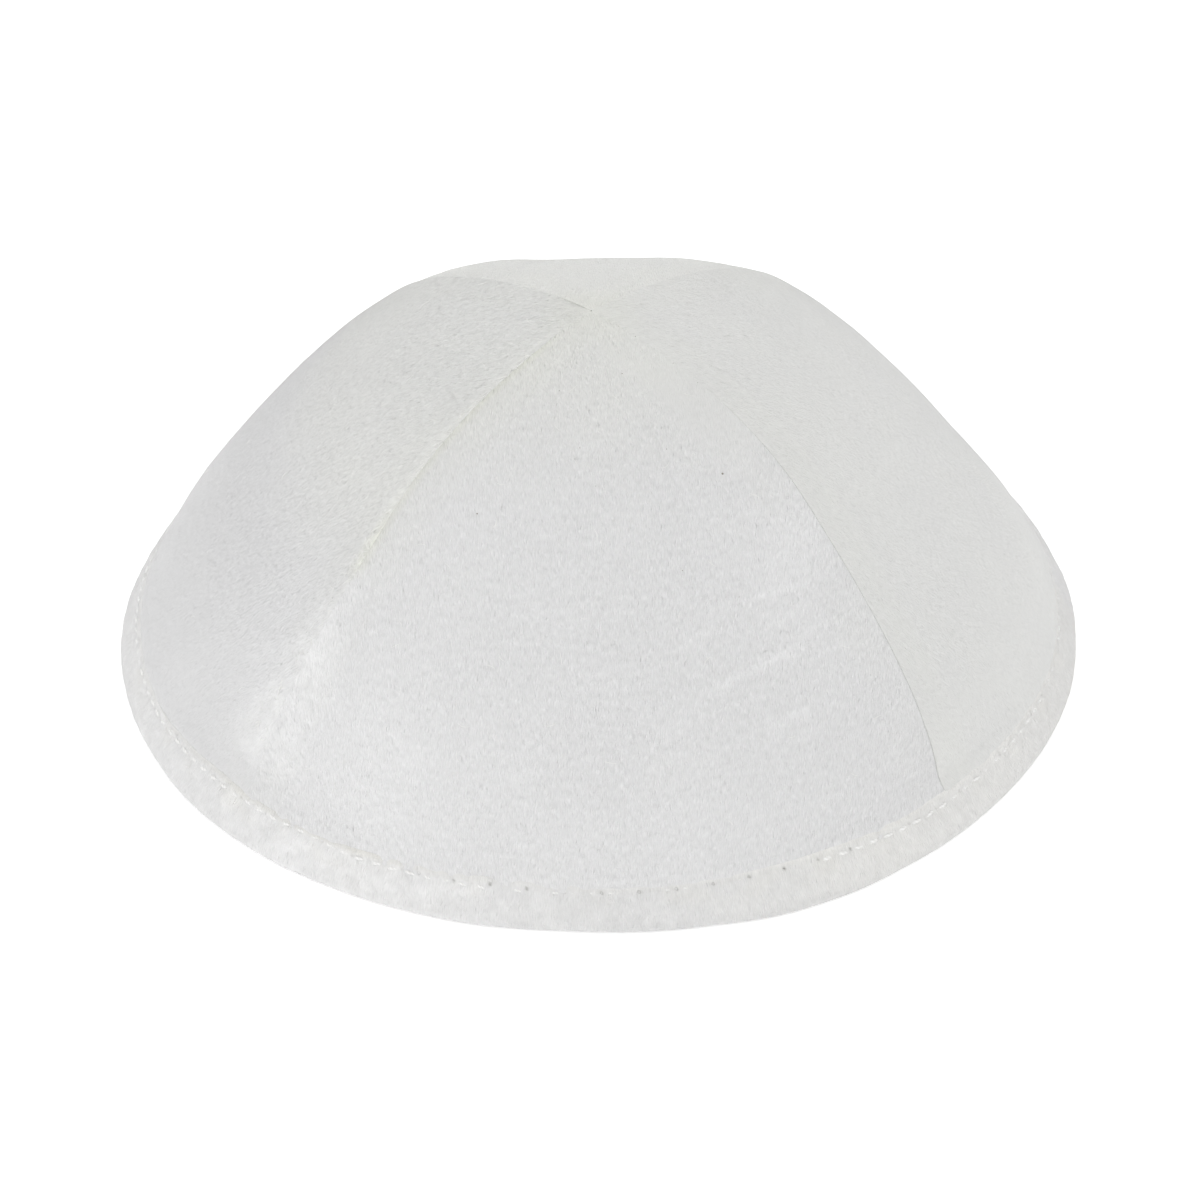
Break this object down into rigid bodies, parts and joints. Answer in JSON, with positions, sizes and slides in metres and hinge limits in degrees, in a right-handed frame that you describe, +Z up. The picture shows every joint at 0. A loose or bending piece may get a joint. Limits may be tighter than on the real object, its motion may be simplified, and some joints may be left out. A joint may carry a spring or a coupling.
{
  "type": "kippah skullcap",
  "caption": "Round dome-shaped kippah sewn from four gores of thick napped white cloth, open below, with a folded and topstitched binding round its rim.",
  "frame": {"origin": "centre of the rim's flat resting face, at the foot of the binding", "axes": "+Z up through the crown, -Y towards the front panel, +X towards the panel at the right of the picture"},
  "size_m": [0.18, 0.18, 0.07],
  "materials": {
    "panel_cloth": "short white napped velour, matt",
    "band_cloth": "short white napped velour, matt, topstitched"
  },
  "bodies": {
    "root": {"panel_front": "panel_cloth", "panel_right": "panel_cloth", "panel_back": "panel_cloth", "panel_left": "panel_cloth", "rim_band": "band_cloth"}
  },
  "joints": []
}
